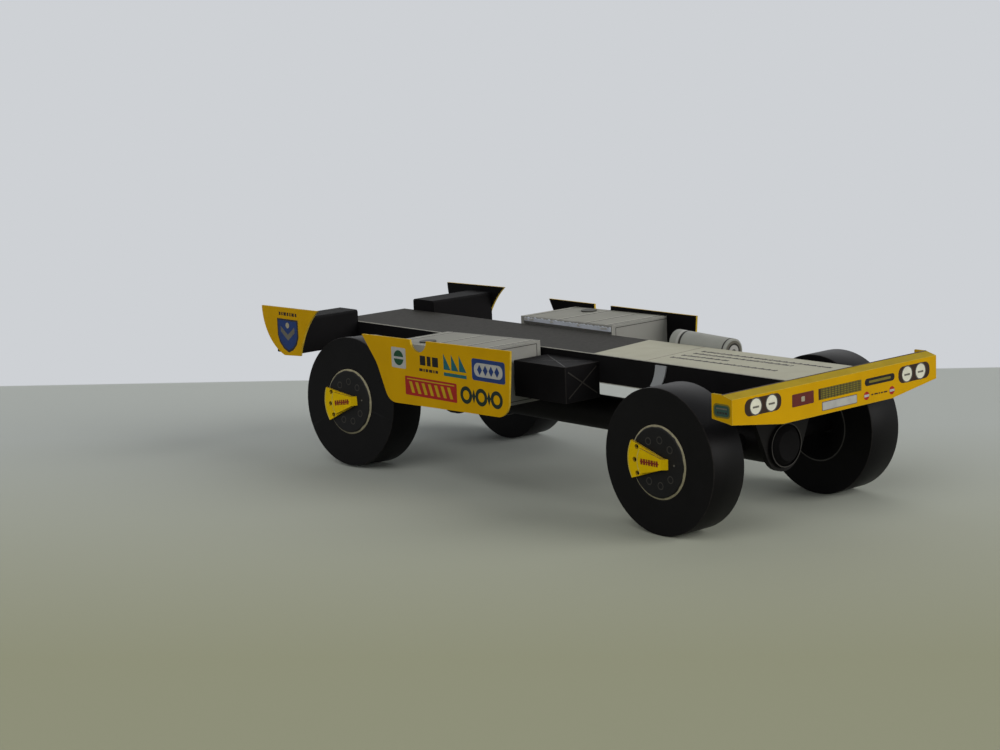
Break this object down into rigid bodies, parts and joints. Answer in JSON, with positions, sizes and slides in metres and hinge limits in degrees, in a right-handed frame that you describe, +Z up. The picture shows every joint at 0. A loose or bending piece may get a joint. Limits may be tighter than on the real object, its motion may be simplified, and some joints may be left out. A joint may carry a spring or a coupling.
{
  "type": "card model of a rally raid truck's rolling chassis",
  "caption": "Small hand-built card model of a rally raid truck's chassis: box frame on a backbone tube, drum wheels that turn, yellow bumper, side skirts and rear panels, no cab yet.",
  "frame": {"origin": "on the ground, at the centre of the model's bounding box", "axes": "+Z up, +Y towards the rear, +X to the model's left"},
  "size_m": [0.0496, 0.1234, 0.0291],
  "materials": {
    "deck_card": "matt printed card",
    "black_card": "matt printed card",
    "yellow_card": "satin printed card",
    "grey_card": "matt printed card",
    "dark_grey_card": "matt printed card",
    "tyre_card": "matt printed card",
    "rim_card": "matt printed card with a pale cut edge"
  },
  "bodies": {
    "chassis": {"frame_box": "deck_card", "front_bulkhead": "black_card", "rear_bulkhead": "black_card", "front_axle_housing": "black_card", "rear_axle_housing": "black_card", "front_axle_rod": "black_card", "rear_axle_rod": "black_card", "backbone_tube": "black_card", "front_collar": "black_card", "bumper": "yellow_card", "battery_box": "black_card", "silencer": "grey_card", "frame_strip": "grey_card", "left_tank": "grey_card", "left_filler_cap": "dark_grey_card", "left_skirt": "yellow_card", "left_mudguard_box": "black_card", "left_side_panel": "yellow_card", "right_tank": "grey_card", "right_filler_cap": "dark_grey_card", "right_skirt": "yellow_card", "right_mudguard_box": "black_card", "right_side_panel": "yellow_card"},
    "front_left_wheel": {"front_left_tyre": "tyre_card", "front_left_rim": "rim_card", "front_left_guard": "yellow_card", "front_left_inner_cone": "black_card"},
    "front_right_wheel": {"front_right_tyre": "tyre_card", "front_right_rim": "rim_card", "front_right_guard": "yellow_card", "front_right_inner_cone": "black_card"},
    "rear_left_wheel": {"rear_left_tyre": "tyre_card", "rear_left_rim": "rim_card", "rear_left_guard": "yellow_card", "rear_left_inner_cone": "black_card"},
    "rear_right_wheel": {"rear_right_tyre": "tyre_card", "rear_right_rim": "rim_card", "rear_right_guard": "yellow_card", "rear_right_inner_cone": "black_card"}
  },
  "joints": [
    {"name": "front_left_wheel_spin", "type": "hinge", "parent": "chassis", "child": "front_left_wheel", "pos_m": [0.016, -0.04325, 0.012], "axis": [1, 0, 0], "continuous": true},
    {"name": "front_right_wheel_spin", "type": "hinge", "parent": "chassis", "child": "front_right_wheel", "pos_m": [-0.0154, -0.04325, 0.012], "axis": [1, 0, 0], "continuous": true},
    {"name": "rear_left_wheel_spin", "type": "hinge", "parent": "chassis", "child": "rear_left_wheel", "pos_m": [0.0145, 0.03515, 0.0109], "axis": [1, 0, 0], "continuous": true},
    {"name": "rear_right_wheel_spin", "type": "hinge", "parent": "chassis", "child": "rear_right_wheel", "pos_m": [-0.01448, 0.03865, 0.01199], "axis": [0.9956, 0.0731, -0.0593], "continuous": true}
  ]
}
